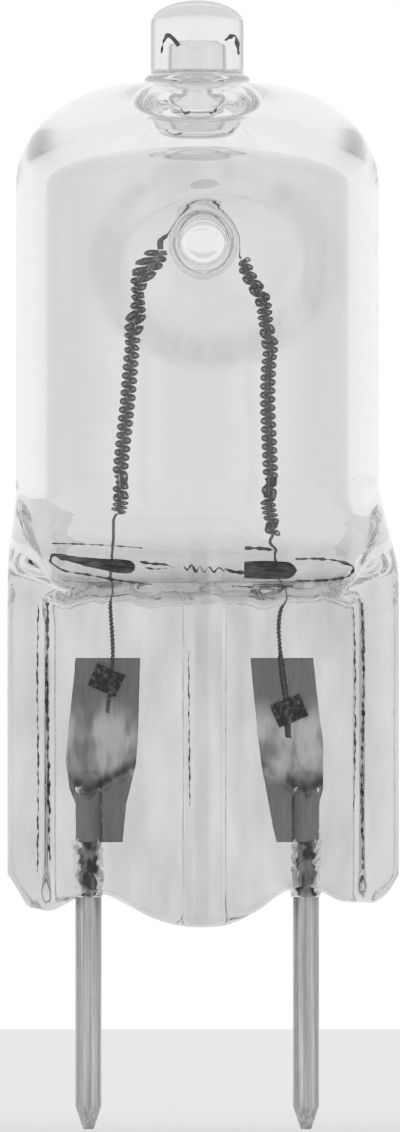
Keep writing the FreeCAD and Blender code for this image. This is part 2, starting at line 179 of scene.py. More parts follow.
def soft_step(value, low, high):
    """0 at low, 1 at high, smooth between them."""
    t = np.clip((value - low) / (high - low), 0, 1)
    return t * t * (3 - 2 * t)


def soft_least(a, b, blend):
    """The lesser of two surfaces, with the corner between them rounded off."""
    h = np.clip(0.5 + 0.5 * (b - a) / blend, 0, 1)
    return b + (a - b) * h - blend * h * (1 - h)


def quarter(start, stop, steps):
    """Radius and level along a quarter of an ellipse, upright at its start and level at its stop."""
    angle = np.linspace(0, math.pi / 2, steps)
    return np.column_stack((stop[0] + (start[0] - stop[0]) * np.cos(angle),
                            start[1] + (stop[1] - start[1]) * np.sin(angle)))


def stretch(start, stop, steps):
    """Radius and level along a straight line."""
    return np.linspace(start, stop, steps)


# Sizes in millimetres, as in the solids: the blown tube, then the pressed seal and its web, ribs and ridge
BARREL, NECK, NECK_FILLET = 6.67, 1.71, 0.25
SHOULDER_LEVEL, DOME_LEVEL, NECK_LEVEL, CAP_LEVEL, TIP_LEVEL = 15.3, 26.0, 29.8, 31.95, 32.83
SEAL_LEVEL, SEAL_SHIFT, SEAL_HALF, PLAIN_LEVEL, EDGE_ROUND = 10.9, 0.22, 7.19, 10.0, 0.4
WEB, WEB_LEVEL, WEB_SLOPE, WEB_CORNER = 1.5, 10.75, 2.6, 0.22
RIB_FROM, RIB_TO, RIB_RISE = 5.5, 6.1, 0.85
RIDGE_X, RIDGE_HALF, RIDGE_RISE = 0.25, 0.57, 0.42
DIMPLE_X, DIMPLE_Z, DIMPLE_SLIP, DIMPLE_DROP = 0.21, 23.85, 0.33, 0.65
OUTER_COLUMNS, SEAL_ROWS, SHOULDER_ROWS = 112, 60, 40

# Half width, half depth, squareness and sideways shift of the shoulder at each level
SHOULDER_LEVELS = [9.0, 10.9, 11.6, 12.5, 13.6, 14.7, 15.3]
shoulder_x = flow(SHOULDER_LEVELS, [7.19, 7.19, 7.19, 7.1, 6.88, 6.7, 6.67])
shoulder_y = flow(SHOULDER_LEVELS + [15.4], [2.3, 2.36, 2.75, 3.95, 5.4, 6.48, 6.67, 6.67])
shoulder_power = flow(SHOULDER_LEVELS, [9, 7, 4.5, 3.0, 2.3, 2.03, 2])
shoulder_shift = flow([9.0, 11.6, 13.6, 15.3], [0.22, 0.22, 0.1, 0])
# Level of the seal's flowing lower edge from left to right
lower_edge = flow([-7.3, -6.95, -6.6, -6.25, -5.9, -5.35, -4.6, -4.0, -3.4, -2.6, -1.6, -0.5,
                   0.3, 1.2, 2.2, 3.3, 4.0, 4.5, 5.2, 6.0, 6.6, 7.0, 7.41],
                  [1.0, 0.62, 0.1, -0.46, -0.58, -0.64, -0.28, -0.05, -0.05, -0.42, -0.94, -1.22,
                   -1.26, -1.14, -0.66, 0.08, 0.14, 0.08, -0.27, -0.33, -0.31, 0.0, 0.6])
OUTER_ROWS = np.vstack((
    stretch((BARREL, SHOULDER_LEVEL), (BARREL, DOME_LEVEL), 56)[1:],
    quarter((BARREL, DOME_LEVEL), (NECK + NECK_FILLET, NECK_LEVEL), 34)[1:],
    quarter((NECK + NECK_FILLET, NECK_LEVEL), (NECK, NECK_LEVEL + 0.3), 5)[1:],
    stretch((NECK, NECK_LEVEL + 0.3), (NECK, CAP_LEVEL), 10)[1:],
    quarter((NECK, CAP_LEVEL), (0, TIP_LEVEL), 12)[1:],
))
# How far a dimple sinks the wall at each distance from its middle, outside and inside, where a solid post rises
SINK_RADII = np.array([0, 0.4, 0.8, 1.2, 1.6, 2.0, 2.4, 2.8, 3.2, 3.6, 4.0, 4.2])
SINKS = np.array([2.2, 2.18, 2.08, 1.85, 1.5, 1.12, 0.76, 0.46, 0.23, 0.08, 0.01, 0])
POST_RADII = np.array([0.92, 0.93, 0.96, 1.03, 1.15, 1.4, 1.77, 2.24, 2.64, 3.0, 3.36, 3.66, 3.9, 4.2])
POST_SINKS = np.array([5.55, 4.6, 3.6, 2.7, 2.2, 1.8, 1.49, 1.08, 0.7, 0.38, 0.2, 0.09, 0.02, 0])
# It widens to an ellipse and slips towards its rim
DIMPLE_WIDE, DIMPLE_HIGH, DIMPLE_REACH, ROUND_TO, WIDE_FROM, SLIP_FROM = 1.1, 0.92, 4.2, 0.9, 3.2, 3.6


def seal_depth(x, level, across):
    """Half depth of shoulder and seal: a rounded block whose middle is squeezed to the web and its ridge. The
    ribs' inner sides and the web's upper rim waver a little, as hot quartz does under a press."""
    power = shoulder_power(level)
    block = shoulder_y(level) * (1 - np.abs(across) ** power) ** (1 / power)
    off = np.abs(x - SEAL_SHIFT) + 0.03 * np.sin(4.1 * level + np.sign(x)) + 0.02 * np.sin(11.3 * level + 2 * x)
    rim = WEB_LEVEL + 0.1 * np.sin(1.7 * x + 0.6) + 0.06 * np.sin(4.3 * x) + 0.03 * np.sin(9.7 * x + 1)
    web = WEB + np.maximum(level - rim, 0) * WEB_SLOPE + soft_step(off, RIB_FROM, RIB_TO) * RIB_RISE
    web = web + 0.02 * np.sin(2.3 * x + 0.7 * level) * np.sin(1.1 * level + x)
    ridge = RIDGE_RISE * np.exp(-((x - RIDGE_X) / RIDGE_HALF) ** 6) * soft_step(level, 11.6, 10.4)
    return soft_least(block, web + ridge, WEB_CORNER)


def turned_rows(line, across):
    """Rows of the front half of a round body, for each radius and level of its line."""
    deep = np.sqrt(1 - across ** 2)
    return [np.column_stack((radius * across, radius * deep, np.full_like(across, level)))
            for radius, level in line]


def outer_wall():
    """Front half of the outside as columns by rows of x, depth and level."""
    across = -np.cos(np.linspace(0, math.pi, OUTER_COLUMNS + 1))
    rows = []
    for row in range(SEAL_ROWS):
        share = row / (SEAL_ROWS - 1)
        x = SEAL_SHIFT + SEAL_HALF * across
        foot = lower_edge(x)
        level = foot + (SEAL_LEVEL - foot) * (1 - (1 - share) ** 1.15)
        depth = seal_depth(x, np.maximum(level, PLAIN_LEVEL), across)
        rise = np.clip((level - foot) / EDGE_ROUND, 0, 1)
        rows.append(np.column_stack((x, depth * np.sqrt(1 - (1 - rise) ** 2), level)))
    for level in np.linspace(SEAL_LEVEL, SHOULDER_LEVEL, SHOULDER_ROWS)[1:]:
        x = shoulder_shift(level) + shoulder_x(level) * across
        rows.append(np.column_stack((x, seal_depth(x, level, across), np.full_like(x, level))))
    return np.array(rows + turned_rows(OUTER_ROWS, across))


def press_in(wall, radii, sinks, radius_at, hole):
    """Sinks the round wall by a dimple, with its corners drawn in towards the steep part. Its middle is left
    open up to the hole's share of the reach. Returns the wall with marks for the corners to keep."""
    rim_x, rim_z = DIMPLE_X + DIMPLE_SLIP, DIMPLE_Z - DIMPLE_DROP
    wide = (wall[:, :, 0] - rim_x) / (DIMPLE_REACH * DIMPLE_WIDE)
    high = (wall[:, :, 2] - rim_z) / (DIMPLE_REACH * DIMPLE_HIGH)
    share = np.hypot(wide, high)
    turn = np.arctan2(high, wide)
    run = np.append(0, np.cumsum(np.hypot(np.diff(radii), np.diff(sinks * 3))))
    radius = np.interp(np.clip((share - hole) / (1 - hole), 0, 1), run / run[-1], radii)
    slip = soft_step(radius, ROUND_TO, SLIP_FROM)
    wide = 1 + (DIMPLE_WIDE - 1) * soft_step(radius, ROUND_TO, WIDE_FROM)
    high = 1 + (DIMPLE_HIGH - 1) * soft_step(radius, ROUND_TO, WIDE_FROM)
    x = DIMPLE_X + DIMPLE_SLIP * slip + radius * wide * np.cos(turn)
    z = DIMPLE_Z - DIMPLE_DROP * slip + radius * high * np.sin(turn)
    depth = np.sqrt(np.maximum(radius_at(z) ** 2 - x ** 2, 0)) * (1 - flow(radii, sinks)(radius))
    pressed = share < 1
    wall[pressed] = np.stack((x, depth, z), axis=2)[pressed]
    return wall, share >= hole


def two_halves(wall, kept):
    """Closed mesh of a front half and its mirror image, joined where they meet."""
    mesh = bmesh.new()
    rows, columns = wall.shape[:2]
    bmesh.ops.create_grid(mesh, x_segments=columns - 1, y_segments=rows - 1, size=1)
    corners = sorted(mesh.verts, key=lambda vert: (round(vert.co.y, 6), round(vert.co.x, 6)))
    loose = set()
    for index, corner in enumerate(corners):
        row, column = divmod(index, columns)
        x, depth, z = wall[row, column]
        corner.co = (x * MM, -depth * MM, z * MM)
        if not kept[row, column]:
            loose.add(corner)
    gone = [face for face in mesh.faces if all(corner in loose for corner in face.verts)]
    bmesh.ops.delete(mesh, geom=gone, context="FACES")
    bmesh.ops.mirror(mesh, geom=mesh.verts[:] + mesh.edges[:] + mesh.faces[:], axis="Y", merge_dist=-1)
    bmesh.ops.remove_doubles(mesh, verts=mesh.verts[:], dist=0.004 * MM)
    bmesh.ops.dissolve_degenerate(mesh, dist=0.002 * MM, edges=mesh.edges[:])
    bmesh.ops.recalc_face_normals(mesh, faces=mesh.faces[:])
    return mesh


def dome_radius(z):
    """Radius of the outside at each level of its dome."""
    rise = np.clip((z - DOME_LEVEL) / (NECK_LEVEL - DOME_LEVEL), 0, 1)
    return NECK + NECK_FILLET + (BARREL - NECK - NECK_FILLET) * np.sqrt(1 - rise ** 2)


envelope_mesh = two_halves(*press_in(outer_wall(), SINK_RADII, SINKS / BARREL, dome_radius, 0))

# The chamber inside it: its wall, the crown, the exhaust bore and the foot that the press squeezed to a slit
CHAMBER, CROWN_LEVEL, THROAT, INNER_COLUMNS, POST_SHARE = 5.55, 28.15, 1.28, 88, 0.17
CLOSE_LEVELS = [11.34, 11.345, 11.355, 11.37, 11.4, 11.44]
# Half width, half depth, squareness and sideways shift of the chamber's foot at each level
FOOT_LEVELS = [11.34, 11.37, 11.45, 11.6, 11.9, 12.4, 13.0, 13.8, 14.6, 15.3, 15.4]
foot_x = flow(FOOT_LEVELS, [4.5, 4.8, 5.1, 5.35, 5.5, 5.58, 5.6, 5.6, 5.57, 5.55, 5.55])
foot_y = flow(FOOT_LEVELS, [0.0, 0.75, 1.15, 1.45, 1.75, 2.3, 3.2, 4.35, 5.3, 5.55, 5.55])
foot_power = flow(FOOT_LEVELS, [3, 3, 3, 3, 3, 2.8, 2.6, 2.3, 2.05, 2, 2])
foot_shift = flow(FOOT_LEVELS, [0.2, 0.2, 0.2, 0.2, 0.2, 0.2, 0.15, 0.08, 0, 0, 0])
# Above the foot a straight barrel, the crown, a funnel and the bore of the tip, which was melted shut
CHAMBER_ROWS = np.vstack((
    stretch((CHAMBER, SHOULDER_LEVEL), (CHAMBER, DOME_LEVEL), 50)[1:],
    quarter((CHAMBER, DOME_LEVEL), (THROAT, CROWN_LEVEL), 22)[1:],
    quarter((THROAT, CROWN_LEVEL), (0.5, CROWN_LEVEL + 0.6), 7)[1:],
    stretch((0.5, CROWN_LEVEL + 0.6), (0.52, 29.3), 5)[1:],
    stretch((0.6, 29.5), (0.93, 29.75), 4),
    stretch((0.98, 29.9), (0.95, 31.15), 10),
    [(0.9, 31.3), (0.78, 31.38), (0.6, 31.3), (0.42, 31.12), (0.25, 31.02), (0, 31.0)],
))


def inner_wall():
    """Front half of the chamber's wall as columns by rows of x, depth and level."""
    across = -np.cos(np.linspace(0, math.pi, INNER_COLUMNS + 1))
    rows = []
    for level in np.append(CLOSE_LEVELS, np.linspace(11.5, SHOULDER_LEVEL, 34)):
        x = foot_shift(level) + foot_x(level) * across
        power = foot_power(level)
        depth = foot_y(level) * (1 - np.abs(across) ** power) ** (1 / power)
        rows.append(np.column_stack((x, depth, np.full_like(x, level))))
    return np.array(rows + turned_rows(CHAMBER_ROWS, across))


def crown_radius(z):
    """Radius of the chamber at each level of its crown."""
    rise = np.clip((z - DOME_LEVEL) / (CROWN_LEVEL - DOME_LEVEL), 0, 1)
    return THROAT + (CHAMBER - THROAT) * np.sqrt(1 - rise ** 2)


chamber_mesh = two_halves(*press_in(inner_wall(), POST_RADII, POST_SINKS / CHAMBER, crown_radius, POST_SHARE))
bmesh.ops.reverse_faces(chamber_mesh, faces=chamber_mesh.faces[:])
merged(envelope_mesh, chamber_mesh)

quartz, spot = finish("clear_quartz", (0.85, 0.85, 0.85), Roughness=0.0, IOR=1.458, Transmission_Weight=1.0)
sideways, height = spot.axis(0), spot.axis(2)
cloud = spot.noise((900, 900, 260), 3.0)
pressed = height.between(13.4, 11.2)
# Painted shade: the pressed seal is darker in colour than the blown tube, and its tone is also cloudier.
clear = 0.85 - 0.22 * pressed + (cloud - 0.5) * (0.03 + 0.5 * pressed)
# Painted shade: a soft, broken ring darkens the quartz's colour at the dimple's rim
rim_x, rim_z = (sideways - 0.54) * (1 / 4.0), (height - 23.2) * (1 / 3.4)
rim_share = rim_x * rim_x + rim_z * rim_z
clear = clear - 0.1 * rim_share.between(0.5, 0.95) * rim_share.between(1.5, 1.0) * cloud.between(0.3, 0.6)
# Painted highlight and painted shade: the ridge gets a lighter band beside a darker one in its colour
ridge_highlight_and_shade = sideways.between(0.3, 0.5) * sideways.between(1.0, 0.8) - 0.6 * sideways.between(-0.4, -0.2)
clear = clear + 0.12 * pressed * ridge_highlight_and_shade * sideways.between(1.0, 0.8)
vary(quartz, "Base Color", clear)
vary(quartz, "Normal", spot.node("ShaderNodeBump", {}, {"Height": cloud * pressed, "Strength": 0.3,
                                                        "Distance": 0.15 * MM}))
place("quartz_envelope", envelope_mesh, quartz, "envelope")

# Pins: two lengths of molybdenum wire, streaked lengthwise by the drawing die, then cropped, tapered and ground
# to a slanted chisel. Painted reflection streaks also lie along them in their colour. The seal holds their
# upper ends, which the sealing heat left dark and blotched.
PIN_X, PIN_RADIUS, PIN_REACH, PIN_TOP, PIN_SIDES = 4.0, 0.48, 8.68, 3.85, 64
PIN_LINE = [(0.0, -PIN_REACH), (0.17, -PIN_REACH), (0.2, -8.65), (0.46, -7.88), (PIN_RADIUS, -7.8)]
PIN_LINE += [(PIN_RADIUS, level) for level in np.linspace(-7.6, 3.6, 29)]
PIN_LINE += [(0.46, 3.78), (0.40, 3.84), (0.0, PIN_TOP)]


def turned(line, sides):
    """Body turned from its profile of radius and level, in millimetres."""
    mesh = bmesh.new()
    spots = [mesh.verts.new((radius * MM, 0, level * MM)) for radius, level in line]
    edges = [mesh.edges.new(pair) for pair in zip(spots, spots[1:])]
    bmesh.ops.spin(mesh, geom=spots + edges, cent=(0, 0, 0), axis=(0, 0, 1), angle=math.tau, steps=sides,
                   use_merge=True, use_duplicate=False)
    bmesh.ops.remove_doubles(mesh, verts=mesh.verts[:], dist=0.001 * MM)
    bmesh.ops.recalc_face_normals(mesh, faces=mesh.faces[:])
    return mesh


molybdenum, spot = finish("drawn_molybdenum", (0.5, 0.5, 0.49), Metallic=1.0, Roughness=0.32)
streak = spot.noise((9000, 9000, 130), 4.0, Roughness=0.6)
speck = spot.noise((26000, 26000, 1500), 2.0)
blotch = spot.noise((2600, 2600, 1700), 3.0)
# Painted reflection: lengthwise streaks in the colour imitate the bands the studio reflects along the wire,
# besides the die's own marks; specks vary the tone
tone_and_painted_gleam = 0.52 + (streak - 0.5) * 0.9 + (speck - 0.5) * 0.22
scorched = spot.axis(2).between(-0.25, 0.0) * blotch.between(0.6, 0.42) * 0.95
vary(molybdenum, "Base Color", tone_and_painted_gleam * (1.0 - scorched))
vary(molybdenum, "Roughness", 0.34 - (streak - 0.5) * 0.3)
SIDES = (("left", -1), ("right", 1))
slant = Vector((0.15, -0.88, -0.45)).normalized()
for side, sign in SIDES:
    pin_mesh = turned(PIN_LINE, PIN_SIDES)
    bmesh.ops.bisect_plane(pin_mesh, geom=pin_mesh.verts[:] + pin_mesh.edges[:] + pin_mesh.faces[:],
                           plane_co=(0, -0.05 * MM, -PIN_REACH * MM), plane_no=slant, clear_outer=True)
    bmesh.ops.holes_fill(pin_mesh, edges=[edge for edge in pin_mesh.edges if edge.is_boundary], sides=0)
    for face in pin_mesh.faces:
        face.smooth = face.normal.dot(slant) < 0.99
    bmesh.ops.translate(pin_mesh, verts=pin_mesh.verts[:], vec=(PIN_X * sign * MM, 0, 0))
    place("pin_" + side + "_wire", pin_mesh, molybdenum, "pin_" + side)

# Sleeves of air: the hot quartz parted from each pin as it cooled and left a thin, bubbled gap round the wire.
# They are inner walls of the envelope, so they're of quartz too, with their faces turned to the pin.
SLEEVE_WIDE, SLEEVE_FINE, SLEEVE_STEP, LEAST_SWELL, SLEEVE_SIDES = 0.54, 0.52, 1.95, -0.05, 48
SLEEVE_LINE = [(0.0, -0.16), (0.45, -0.16)]
SLEEVE_LINE += [(SLEEVE_WIDE, level) for level in np.linspace(-0.14, SLEEVE_STEP, 40)]
SLEEVE_LINE += [(SLEEVE_FINE, level) for level in np.linspace(2.0, 3.9, 24)] + [(0.3, 3.95), (0.0, 3.97)]
void_mesh = bmesh.new()
for sign in (-1, 1):
    sleeve = turned(SLEEVE_LINE, SLEEVE_SIDES)
    for corner in sleeve.verts:
        level, turn = corner.co.z / MM, math.atan2(corner.co.y, corner.co.x)
        radius = math.hypot(corner.co.x, corner.co.y) / MM
        if radius > 0.5:
            swell = 0.07 * math.sin(5.1 * level + 2.2 * turn + sign) * math.sin(3 * turn + 2.7 * level)
            swell += 0.04 * math.sin(13 * level + 5 * turn) + 0.03 * math.sin(9 * turn - 17 * level + sign)
            bulge = 1 + 0.6 * max(swell, LEAST_SWELL) / radius * (1 if level < SLEEVE_STEP else 0.3)
            corner.co.x, corner.co.y = corner.co.x * bulge, corner.co.y * bulge
    bmesh.ops.reverse_faces(sleeve, faces=sleeve.faces[:])
    bmesh.ops.translate(sleeve, verts=sleeve.verts[:], vec=(PIN_X * sign * MM, 0, 0))
    merged(void_mesh, sleeve)
place("seal_voids", void_mesh, quartz, "envelope")

# Foils: molybdenum rolled to a few hundredths of a millimetre, so thin that the quartz can seal round it. Each
# lies over the end of its pin, where it drapes over the wire in a folded V, and the press sealed it in place.
FOIL_FOOT, FOIL_TOP, FOIL_THICK, DRAPE_RADIUS, FOIL_FORWARD = 1.9, 8.64, 0.02, 0.515, 0.05
# Levels and distances from the pin's line of the left edge, then of the right edge
FOIL_EDGES = {
    "left": ([FOIL_FOOT, 3.3, 3.85, 4.9, FOIL_TOP], [-0.46, -0.46, -0.68, -0.82, -0.48],
             [FOIL_FOOT, 3.31, 4.82, 5.92, FOIL_TOP], [1.27, 1.40, 1.75, 1.82, 1.90]),
    "right": ([FOIL_FOOT, 2.5, 3.46, 4.82, 6.1, FOIL_TOP], [-1.07, -1.21, -1.37, -1.64, -1.80, -2.05],
              [FOIL_FOOT, 3.3, 3.85, 5.37, 7.06, FOIL_TOP], [0.48, 0.48, 0.63, 0.63, 0.44, 0.26]),
}
rolled_foil, spot = finish("rolled_foil", (0.42, 0.42, 0.41), Metallic=1.0, Roughness=0.4)
sideways, height = spot.maths("ABSOLUTE", spot.axis(0)), spot.axis(2)
patch = spot.noise((1100, 1100, 420), 3.0)
rolled = spot.noise((14000, 14000, 1500), 3.0)
# Painted highlight: a band of each foil between these levels is lightened in noisy patches, as a sheen
painted_sheen = height.between(7.4, 6.0) * height.between(3.9, 4.7)
tone_and_painted_gleam = 0.34 + painted_sheen * (patch.between(0.4, 0.6) * 0.55 + 0.08) + (rolled - 0.5) * 0.2
folded_at = height - spot.maths("ABSOLUTE", sideways - PIN_X) * 0.55
shadow = folded_at.between(3.55, 3.75) * folded_at.between(4.2, 3.8) * patch.between(0.66, 0.45)
outer_edge = height.between(7.6, 6.4) * sideways.between(5.2, 5.7)
vary(rolled_foil, "Base Color", tone_and_painted_gleam * (1.0 - 0.75 * shadow) * (1.0 - 0.5 * outer_edge))
for side, sign in SIDES:
    left_levels, left_edge, right_levels, right_edge = FOIL_EDGES[side]
    foil_mesh = bmesh.new()
    bmesh.ops.create_grid(foil_mesh, x_segments=48, y_segments=130, size=0.5)
    for corner in foil_mesh.verts:
        level = FOIL_FOOT + (corner.co.y + 0.5) * (FOIL_TOP - FOIL_FOOT)
        left, right = np.interp(level, left_levels, left_edge), np.interp(level, right_levels, right_edge)
        x = left + (corner.co.x + 0.5) * (right - left)
        drape = float(soft_step(level, 4.55, 3.75))
        over_pin = math.sqrt(max(DRAPE_RADIUS ** 2 - x ** 2, 0)) * drape
        fold_level = 3.55 + 0.55 * abs(x)
        crease = math.exp(-((level - fold_level) / 0.13) ** 2)
        wave = crease * (0.07 + 0.03 * math.sin(9 * x + 2 * level) + 0.02 * math.sin(23 * x + 11 * level))
        wave += 0.012 * math.sin(1.9 * x + sign) * math.sin(1.3 * level)
        wave += drape * 0.008 * math.sin(21 * x) * math.sin(9 * level)
        corner.co = ((PIN_X * sign + x) * MM, (wave - over_pin - FOIL_FORWARD) * MM, level * MM)
    bmesh.ops.solidify(foil_mesh, geom=foil_mesh.faces[:], thickness=FOIL_THICK * MM)
    bmesh.ops.recalc_face_normals(foil_mesh, faces=foil_mesh.faces[:])
    place("foil_" + side + "_sheet", foil_mesh, rolled_foil, "foil_" + side)

# Weld tabs: a small square of sheet metal on each foil. The spot weld that fastened the filament's leg under it
# left the tab dark and pitted. The solids have its full form, so they only take this finish.
burnt_tab, spot = finish("burnt_tab", (0.2, 0.2, 0.2), Metallic=0.8, Roughness=0.5)
vary(burnt_tab, "Base Color", 0.035 + spot.noise((6000, 6000, 6000), 4.0).between(0.45, 0.8) * 0.3)
for side in ("left", "right"):
    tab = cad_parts["weld_tab_" + side].data
    tab.materials.clear()
    tab.materials.append(burnt_tab)

# Filament: one tungsten wire a few hundredths of a millimetre thick, wound into a fine coil that is itself
# wound into the two limbs. It hangs over the post by a bare stretch, and its legs run down to the weld tabs.
dark_tungsten = finish("dark_tungsten", (0.22, 0.22, 0.215), Metallic=0.9, Roughness=0.4)[0]


def smooth_path(points, step):
    """Points about a step apart on a smooth curve through a few points."""
    points = np.array(points, float)
    reach = np.append(0, np.cumsum(np.linalg.norm(np.diff(points, axis=0), axis=1)))
    stops = np.linspace(0, reach[-1], max(int(reach[-1] / step), 2))
    return np.column_stack([flow(reach, points[:, axis])(stops) for axis in range(points.shape[1])])


def wound(path, radius, pitch, per_turn, hand=1, start=0.0):
    """Helix round a path of x, y and z, with some steps per turn. The radius may change along the path."""
    tangent = np.gradient(path, axis=0)
    tangent /= np.linalg.norm(tangent, axis=1)[:, None]
    across = np.cross((0.05, 1, 0.02), tangent)
    across /= np.linalg.norm(across, axis=1)[:, None]
    deep = np.cross(tangent, across)
    reach = np.append(0, np.cumsum(np.linalg.norm(np.diff(path, axis=0), axis=1)))
    turns = reach[-1] / pitch
    stops = np.linspace(0, reach[-1], int(turns * per_turn) + 1)
    angle = start + hand * math.tau * stops / pitch
    at = [np.column_stack([np.interp(stops, reach, axis) for axis in line.T]) for line in (path, across, deep)]
    radius = np.interp(stops, reach, np.broadcast_to(radius, len(reach)))[:, None]
    return at[0] + radius * (at[1] * np.cos(angle)[:, None] + at[2] * np.sin(angle)[:, None])


def drawn_wire(name, runs):
    """Mesh of wires with four sides, each given by its path and its radius in millimetres."""
    curve = bpy.data.curves.new(name, "CURVE")
    curve.dimensions = "3D"
    curve.bevel_depth = MM
    curve.bevel_resolution = 0
    curve.use_fill_caps = True
    for path, radius in runs:
        spline = curve.splines.new("POLY")
        spline.points.add(len(path) - 1)
        spline.points.foreach_set("co", np.column_stack((path * MM, np.ones(len(path)))).ravel())
        spline.points.foreach_set("radius", np.broadcast_to(radius, len(path)).astype(float))
    guide = bpy.data.objects.new(name + "_guide", curve)
    made = bpy.data.meshes.new_from_object(guide)
    mesh = bmesh.new()
    mesh.from_mesh(made)
    bpy.data.objects.remove(guide)
    return mesh


# Middle line of each coiled limb from its top, as x and level
LIMBS = {
    "left": [(-1.99, 23.49), (-2.23, 22.46), (-2.32, 21.32), (-2.32, 20.59), (-2.43, 19.63), (-2.51, 18.68),
             (-2.56, 18.09), (-2.65, 17.24), (-2.75, 16.32), (-2.84, 15.37), (-2.89, 14.71), (-2.99, 14.06)],
    "right": [(2.12, 23.12), (2.22, 22.46), (2.41, 21.98), (2.55, 21.32), (2.64, 20.59), (2.64, 19.63),
              (2.60, 18.68), (2.60, 17.72), (2.64, 16.8), (2.68, 15.85), (2.71, 14.91), (2.79, 13.97),
              (2.86, 13.42)],
}
COIL_RADIUS, COIL_PITCH, COIL_STEPS = 0.19, 0.315, 40
FINE_RADIUS, FINE_PITCH, FINE_STEPS, FINE_WIRE = 0.095, 0.062, 7, 0.019
runs = []
for side, sign in SIDES:
    middle = smooth_path([(x, 0, z) for x, z in LIMBS[side]], 0.02)
    radius = np.full(len(middle), COIL_RADIUS)
    if side == "left":
        # The topmost turns are loose and lean to the right
        top = soft_step(middle[:, 2], 22.3, 23.5)
        radius = radius + 0.15 * top
        middle[:, 0] += 0.12 * top
    coarse = wound(middle, radius, COIL_PITCH, COIL_STEPS, -sign, math.pi)
    runs.append((wound(coarse, FINE_RADIUS, FINE_PITCH, FINE_STEPS), FINE_WIRE))
# Bare stretch over the post, as x and level
ARCH = [(-1.88, 23.55), (-1.86, 23.95), (-1.72, 24.06), (-1.46, 24.12), (-1.07, 24.35), (-0.61, 24.79),
        (-0.12, 25.08), (0.48, 25.2), (1.02, 25.09), (1.36, 24.72), (1.62, 24.19), (1.78, 23.55), (1.84, 23.3),
        (2.0, 23.2)]
arch = smooth_path([(x, 0, z) for x, z in ARCH], 0.03)
thick = np.interp(arch[:, 0], [-1.9, -1.5, -1.0, 0.4, 1.5, 1.9], [0.12, 0.1, 0.05, 0.035, 0.045, 0.06])
runs.append((arch, thick))
# Legs from the limbs' lower ends to the weld tabs, as x, y and level
LEG_WIRE, KINK, KINK_PITCH = 0.055, 0.03, 0.15
LEGS = {
    "left": [(-3.05, 0, 14.02), (-3.15, 0, 13.7), (-3.17, 0, 13.2), (-3.19, 0, 12.83), (-3.25, 0, 12.2),
             (-3.25, -0.09, 11.91), (-3.2, -0.09, 11.58), (-3.2, -0.09, 10.99), (-3.13, -0.09, 9.82),
             (-3.08, -0.09, 8.71), (-3.22, -0.09, 7.28), (-3.3, -0.09, 6.62)],
    "right": [(2.86, 0, 13.4), (2.74, 0, 13.1), (2.96, 0, 12.79), (2.93, 0, 12.61), (2.98, 0, 12.46),
              (2.88, -0.03, 12.13), (2.98, -0.09, 11.84), (3.15, -0.09, 11.49), (3.18, -0.09, 10.8),
              (3.07, -0.09, 10.4), (3.07, -0.09, 8.71), (3.12, -0.09, 8.12), (3.25, -0.09, 7.2),
              (3.33, -0.09, 5.72)],
}
for side in ("left", "right"):
    leg = smooth_path(LEGS[side], 0.025)
    kinked = soft_step(leg[:, 2], 10.9, 10.6)
    leg[:, 0] += KINK * kinked * np.sin(leg[:, 2] * math.tau / KINK_PITCH)
    bump = 0.012 * kinked * np.cos(leg[:, 2] * math.tau / KINK_PITCH)
    stout = 0.035 * soft_step(leg[:, 2], 8.9, 8.5) if side == "right" else 0
    runs.append((leg, LEG_WIRE + bump + stout))
place("filament_wire", drawn_wire("filament_wire", runs), dark_tungsten, "filament")

# Painted shade of the folds in the quartz, just under its front skin: a flattened loop at the chamber's foot,
# where the hot tube was pinched, broken creases that the press drew along the ribs and the ridge, and marks
# from the closing of the tip. Each is a thin, flat strip of dark material that paints the shade the fold shows.
FOLD_COVER, FOLD_FLATNESS, LEAST_FOLD = 0.09, 0.15, 0.006
